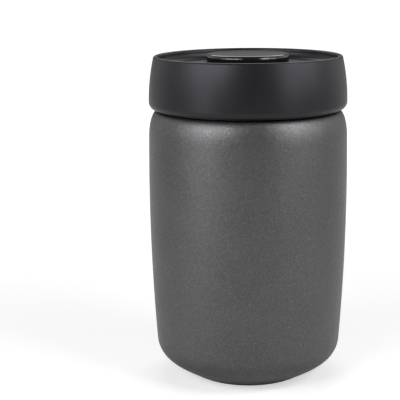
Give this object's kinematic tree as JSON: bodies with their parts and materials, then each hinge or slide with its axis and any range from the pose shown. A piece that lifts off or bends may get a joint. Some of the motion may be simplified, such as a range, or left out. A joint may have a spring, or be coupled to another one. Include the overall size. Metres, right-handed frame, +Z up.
{
  "type": "vacuum coffee canister",
  "caption": "Round steel food canister with a low black lid; pressing the lid's round button pumps air out, and turning it lets air back in.",
  "frame": {"origin": "on the canister's axis, at the plane that its foot pad stands on", "axes": "+Z up along the canister's axis, towards the button; the release stem stands on the -Y side, which faces the picture's viewer"},
  "size_m": [0.125, 0.125, 0.2046],
  "materials": {
    "body_coat": "fine metallic powder coat, satin",
    "lid_soft_black": "matt, soft to the touch",
    "button_gloss_black": "polished",
    "moulded_black": "as moulded",
    "black_silicone": "matt",
    "clear_silicone": "satin, milky",
    "grey_nylon": "as moulded",
    "white_acetal": "smooth",
    "bright_steel": "bright"
  },
  "bodies": {
    "canister": {"canister_body": "body_coat", "base_pad": "black_silicone"},
    "lid": {"lid_shell": "lid_soft_black", "lid_base": "moulded_black", "main_gasket": "clear_silicone", "filter_cover": "grey_nylon", "pump_cylinder": "white_acetal", "cylinder_cover": "white_acetal", "cylinder_seal": "black_silicone", "intake_valve": "clear_silicone", "cylinder_screw_1": "bright_steel", "cylinder_screw_2": "bright_steel", "cylinder_screw_3": "bright_steel", "cylinder_screw_4": "bright_steel", "return_spring": "bright_steel", "release_spring": "bright_steel"},
    "release": {"release_ring": "grey_nylon"},
    "button": {"button_cap": "button_gloss_black", "button_core": "moulded_black", "piston": "white_acetal", "piston_seal": "black_silicone", "piston_screw": "bright_steel"},
    "stem": {"release_stem": "white_acetal", "release_seal": "black_silicone"}
  },
  "joints": [
    {"name": "lid_lift", "type": "slide", "parent": "canister", "child": "lid", "axis": [0, 0, 1], "range_m": [0, 0.12]},
    {"name": "button_turn", "type": "hinge", "parent": "lid", "child": "release", "pos_m": [0, 0, 0.18], "axis": [0, 0, 1], "range_deg": [0, 45]},
    {"name": "button_press", "type": "slide", "parent": "release", "child": "button", "axis": [0, 0, -1], "range_m": [0, 0.008], "stiffness_N_per_m": 600, "springref_m": -0.004, "deforming": ["return_spring"]},
    {"name": "release_lift", "type": "slide", "parent": "lid", "child": "stem", "axis": [0, 0, 1], "range_m": [0, 0.0017], "stiffness_N_per_m": 0.01, "springref_m": 0.248, "deforming": ["release_spring"]}
  ],
  "couplings": [
    {"joint": "release_lift", "follows": "button_turn", "m_per_rad": 0.0020372}
  ]
}
